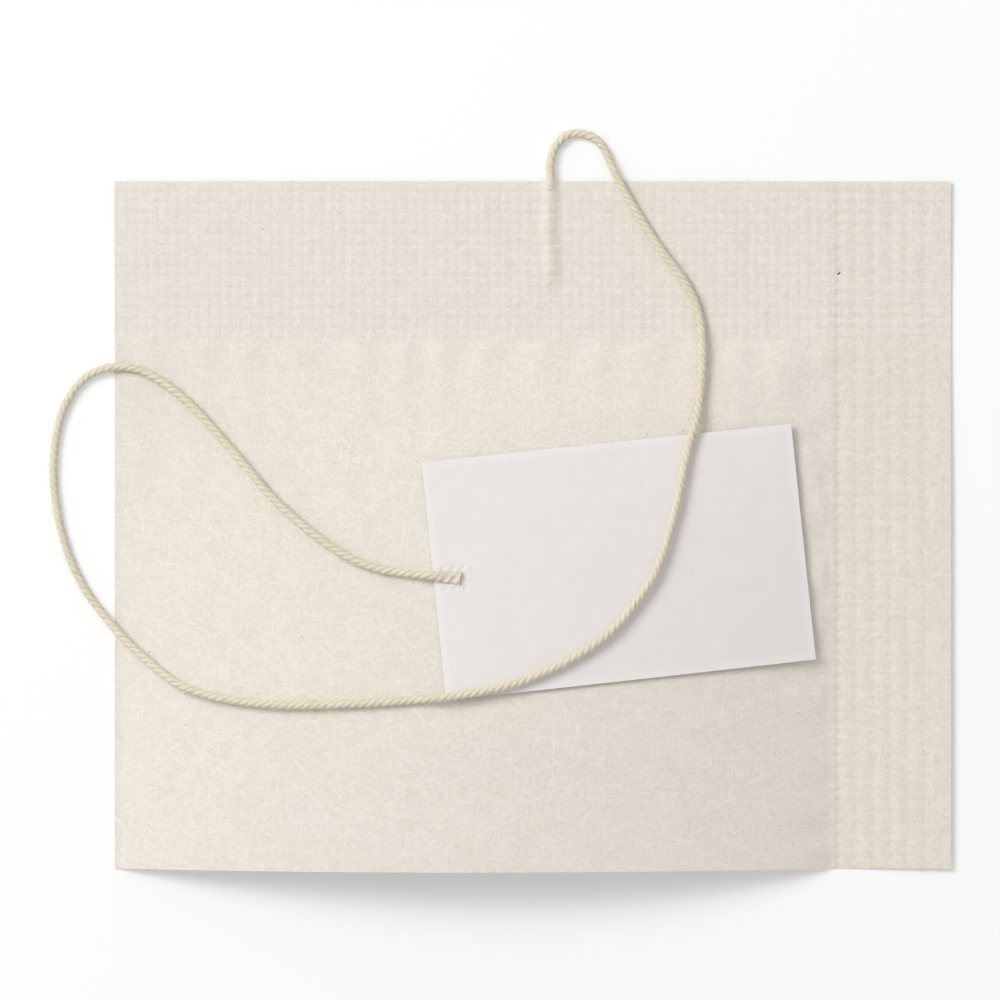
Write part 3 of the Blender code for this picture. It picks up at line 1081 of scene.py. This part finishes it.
def cotton():
    """The string's finish: cream cotton, with shade painted between its plies."""
    material, tree, shader = new_finish("cotton_string", 0.95, 0.2, 0.25)
    along = add_node(tree, "ShaderNodeUVMap", uv_map="along_string").outputs["UV"]
    apart = add_node(tree, "ShaderNodeSeparateXYZ", {"Vector": along})
    around = apart.outputs["X"]
    run = maths(tree, "MULTIPLY", apart.outputs["Y"], length_of(string_line))
    lobe = maths(tree, "PINGPONG", maths(tree, "MULTIPLY", around, 1.0 * PLIES), 0.5)
    # where shade is painted: the valleys between the plies
    valley = share_of(tree, lobe, 0.24, 0.0)

    girth = maths(tree, "MULTIPLY", around, math.tau * STRING_RADIUS)
    lean = maths(tree, "ADD", girth, maths(tree, "MULTIPLY", run, -0.55))
    fibre_place = add_node(
        tree,
        "ShaderNodeCombineXYZ",
        {
            "X": maths(tree, "DIVIDE", lean, 0.075 * MM),
            "Y": maths(tree, "DIVIDE", run, 1.1 * MM),
        },
    ).outputs[0]
    fibres = add_node(
        tree, "ShaderNodeTexNoise", {"Vector": fibre_place, "Scale": 1.0, "Detail": 3.0}
    ).outputs["Fac"]
    patches = add_node(
        tree,
        "ShaderNodeTexNoise",
        {"Vector": add_node(tree, "ShaderNodeTexCoord").outputs["Object"], "Scale": 1 / (5 * MM)},
    ).outputs["Fac"]

    colour = tinted(tree, share_of(tree, patches, 0.35, 0.65, 0.0, 0.35), CREAM, PALE_COTTON)
    colour = tinted(tree, share_of(tree, fibres, 0.55, 0.75, 0.0, 0.5), colour, PALE_COTTON)
    colour = tinted(tree, share_of(tree, fibres, 0.45, 0.25, 0.0, 0.45), colour, DEEP_CREAM_AND_SHADE)
    # painted shade in the valleys between the plies
    colour = tinted(tree, maths(tree, "MULTIPLY", valley, 0.50), colour, DEEP_CREAM_AND_SHADE)
    tree.links.new(colour, shader.inputs["Base Color"])
    bump = add_node(
        tree, "ShaderNodeBump", {"Strength": 0.9, "Distance": 0.07 * MM, "Height": fibres}
    )
    tree.links.new(bump.outputs["Normal"], shader.inputs["Normal"])
    return material


# %% The string as a piece
string = new_piece(
    "cotton_string",
    finished_mesh("cotton_string", string_shape),
    cotton(),
    "string",
)

# %% [markdown]
# The pouch is built as the machine builds it: one panel, doubled, joined round its rim, and
# then opened at the mouth.

# %% A grid on chosen lines
def grid_on_lines(columns, rows, uv_map):
    """A flat grid whose lines run at those places along X and Y, with a map of its own."""
    shape = bmesh.new()
    shape.loops.layers.uv.new(uv_map)
    last_column, last_row = len(columns) - 1, len(rows) - 1
    bmesh.ops.create_grid(
        shape, x_segments=last_column, y_segments=last_row, size=1.0, calc_uvs=True
    )
    for vertex in shape.verts:
        column = round((vertex.co.x + 1.0) / 2 * last_column)
        row = round((vertex.co.y + 1.0) / 2 * last_row)
        vertex.co = (columns[column], rows[row], 0.0)
    return shape


def refine(shape, inside):
    """Halve every edge of the cells that lie inside."""
    edges = set()
    for face in shape.faces:
        if inside(face.calc_center_median()):
            edges.update(face.edges)
    bmesh.ops.subdivide_edges(shape, edges=list(edges), cuts=1, use_grid_fill=True)


# %% The panel's grid
side_lines = SEAL_X + SIDE_FIRST + SIDE_PITCH * np.arange(SIDE_GROOVES)
COLUMNS = np.concatenate(
    [[FOLD_X], np.linspace(INNER_FOLD_X, SEAL_X, COLUMN_CELLS + 1), side_lines, [SIDE_X]]
)
ROWS = np.concatenate(
    [
        np.linspace(MOUTH_Y, SEAL_Y, ROW_CELLS + 1),
        np.linspace(SEAL_Y, TOP_Y, TOP_CELLS + 1)[1:],
    ]
)
panel = grid_on_lines(COLUMNS, ROWS, "on_paper")
refine(panel, lambda place: True)
refine(panel, lambda place: place.x > SEAL_X or place.y > SEAL_Y or place.x < INNER_FOLD_X)
print("one panel:", len(panel.faces), "faces")


# %% Double the panel
def new_verts(made):
    """The vertices among what an operator made."""
    return [item for item in made["geom"] if isinstance(item, bmesh.types.BMVert)]


def doubled(shape):
    """Join the panel to a second one round its rim. Returns the second one's vertices."""
    return set(new_verts(bmesh.ops.extrude_face_region(shape, geom=shape.faces[:])))


back_verts = doubled(panel)
for vertex in panel.verts:
    height = back_height if vertex in back_verts else front_height
    vertex.co.z = height(vertex.co.x, vertex.co.y)
print("two panels:", len(panel.faces), "faces,", open_edges(panel), "open edges")

# %% [markdown]
# The doubled panel is solid. The mouth is cut into its near edge, and the inner faces of the
# paper are drawn in from there, row by row, until they meet at the top seal. In every row the
# first and last places of the upper and the lower face are the same, so merging them closes
# the pocket along the fold and the side seal.

# %% Open the mouth and line the pocket
POCKET_ROWS = np.linspace(MOUTH_Y, SEAL_Y, 25)


def in_mouth(face):
    """Whether a face of the rim lies where the mouth is to be."""
    flat = all(abs(vertex.co.y - MOUTH_Y) < 1e-7 for vertex in face.verts)
    return flat and INNER_FOLD_X < face.calc_center_median().x < SEAL_X


def inner_height(x, y, upper):
    """The height of the pocket's roof or floor. They meet at the fold and at both seals."""
    edge = 1e-6
    closed = y > SEAL_Y - edge or not INNER_FOLD_X + edge < x < SEAL_X - edge
    if upper and not closed:
        return front_height(x, y) - PAPER
    return back_height(x, y) + PAPER


def draw_in(shape, edges, upper):
    """Extrude the mouth's edges along the pocket, one row at a time."""
    for row in POCKET_ROWS:
        made = bmesh.ops.extrude_edge_only(shape, edges=edges)
        for vertex in new_verts(made):
            vertex.co = (vertex.co.x, row, inner_height(vertex.co.x, row, upper))
        edges = [item for item in made["geom"] if isinstance(item, bmesh.types.BMEdge)]


mouth = [face for face in panel.faces if in_mouth(face)]
mouth_edges = {edge for face in mouth for edge in face.edges}
front_lip = [edge for edge in mouth_edges if not back_verts & set(edge.verts)]
back_lip = [edge for edge in mouth_edges if back_verts >= set(edge.verts)]
bmesh.ops.delete(panel, geom=mouth, context="FACES")
draw_in(panel, front_lip, True)
draw_in(panel, back_lip, False)
bmesh.ops.remove_doubles(panel, verts=panel.verts, dist=1e-7)
corners = [edge for edge in panel.edges if len(edge.link_faces) == 1]
bmesh.ops.holes_fill(panel, edges=corners, sides=4)
print("pouch:", len(panel.faces), "faces,", open_edges(panel), "open edges")

# %% The pouch as a piece
pouch = new_piece(
    "paper_pouch",
    finished_mesh("paper_pouch", panel),
    filter_paper(),
    "pouch",
)

# %% [markdown]
# The tag is cut from card, so it starts as a flat grid that is laid on the arch and then given
# its thickness. The grid is halved twice where the pins have pressed, to have room for pits.

# %% The tag
tag_columns = np.linspace(-TAG_LENGTH / 2, TAG_LENGTH / 2, 63)
tag_rows = np.linspace(-TAG_WIDTH / 2, TAG_WIDTH / 2, 41)
card = grid_on_lines(tag_columns, tag_rows, "on_tag")


def near_weld(place):
    """Whether a cell of the tag's grid is at the mark of the pins."""
    reach = 1.6 * PIN_PITCH
    return place.x < WELD_IN + reach - TAG_LENGTH / 2 and abs(place.y) < reach + 0.2 * MM


refine(card, near_weld)
refine(card, near_weld)
made = bmesh.ops.extrude_face_region(card, geom=card.faces[:])["geom"]
lower = {item for item in made if isinstance(item, bmesh.types.BMVert)}
for vertex in card.verts:
    along, across = vertex.co.x, vertex.co.y
    x, y = on_tag(along, across)
    level = tag_underside(x, y) - 0.6 * weld(along, across)
    if vertex not in lower:
        level += TAG_CARD - 0.4 * weld(along, across)
    vertex.co = (x, y, level)
print("tag:", len(card.faces), "faces,", open_edges(card), "open edges")
tag = new_piece(
    "blank_tag",
    finished_mesh("blank_tag", card),
    tag_card(),
    "tag",
)

# %% Floor
floor_shape = bmesh.new()
bmesh.ops.create_grid(floor_shape, x_segments=1, y_segments=1, size=1.5)
floor_mesh = bpy.data.meshes.new("floor")
floor_shape.to_mesh(floor_mesh)
floor_shape.free()
floor = bpy.data.objects.new("floor", floor_mesh)
scene.collection.objects.link(floor)
floor_material = bpy.data.materials.new("floor")
floor_material.use_nodes = True
nodes, links = floor_material.node_tree.nodes, floor_material.node_tree.links
floor_shader = nodes["Principled BSDF"]
floor_shader.inputs["Base Color"].default_value = (0.80, 0.80, 0.80, 1.0)
floor_shader.inputs["Roughness"].default_value = 0.9
rays = nodes.new("ShaderNodeLightPath")
seen = nodes.new("ShaderNodeMath")
seen.operation = "MAXIMUM"
links.new(rays.outputs["Is Camera Ray"], seen.inputs[0])
links.new(rays.outputs["Is Glossy Ray"], seen.inputs[1])
lift = nodes.new("ShaderNodeMath")
lift.operation = "MULTIPLY"
lift.inputs[1].default_value = 0.22
links.new(seen.outputs[0], lift.inputs[0])
links.new(lift.outputs[0], floor_shader.inputs["Emission Strength"])
floor_shader.inputs["Emission Color"].default_value = (1.0, 1.0, 1.0, 1.0)
floor_mesh.materials.append(floor_material)

# %% Light
WORLD_SHARE = 0.56
KEY_SHARE = 0.41
KEY_DIRECTION = Vector((-0.62, 0.46, 0.80)).normalized()
KEY_DISTANCE = 0.9
KEY_SIZE = 0.40
world = bpy.data.worlds.new("studio")
world.use_nodes = True
background = world.node_tree.nodes["Background"]
background.inputs["Color"].default_value = (1.0, 1.0, 1.0, 1.0)
background.inputs["Strength"].default_value = WORLD_SHARE
scene.world = world


def add_lamp(name, direction, distance, size, share):
    """A square lamp that gives the floor its share of the plain level."""
    data = bpy.data.lights.new(name, "AREA")
    data.size = size
    data.energy = share * math.pi * math.pi * distance**2 / direction.z
    lamp = bpy.data.objects.new(name, data)
    lamp.location = direction * distance
    lamp.rotation_euler = direction.to_track_quat("Z", "Y").to_euler()
    scene.collection.objects.link(lamp)
    return lamp


add_lamp("key", KEY_DIRECTION, KEY_DISTANCE, KEY_SIZE, KEY_SHARE)
scene.view_settings.view_transform = "Standard"
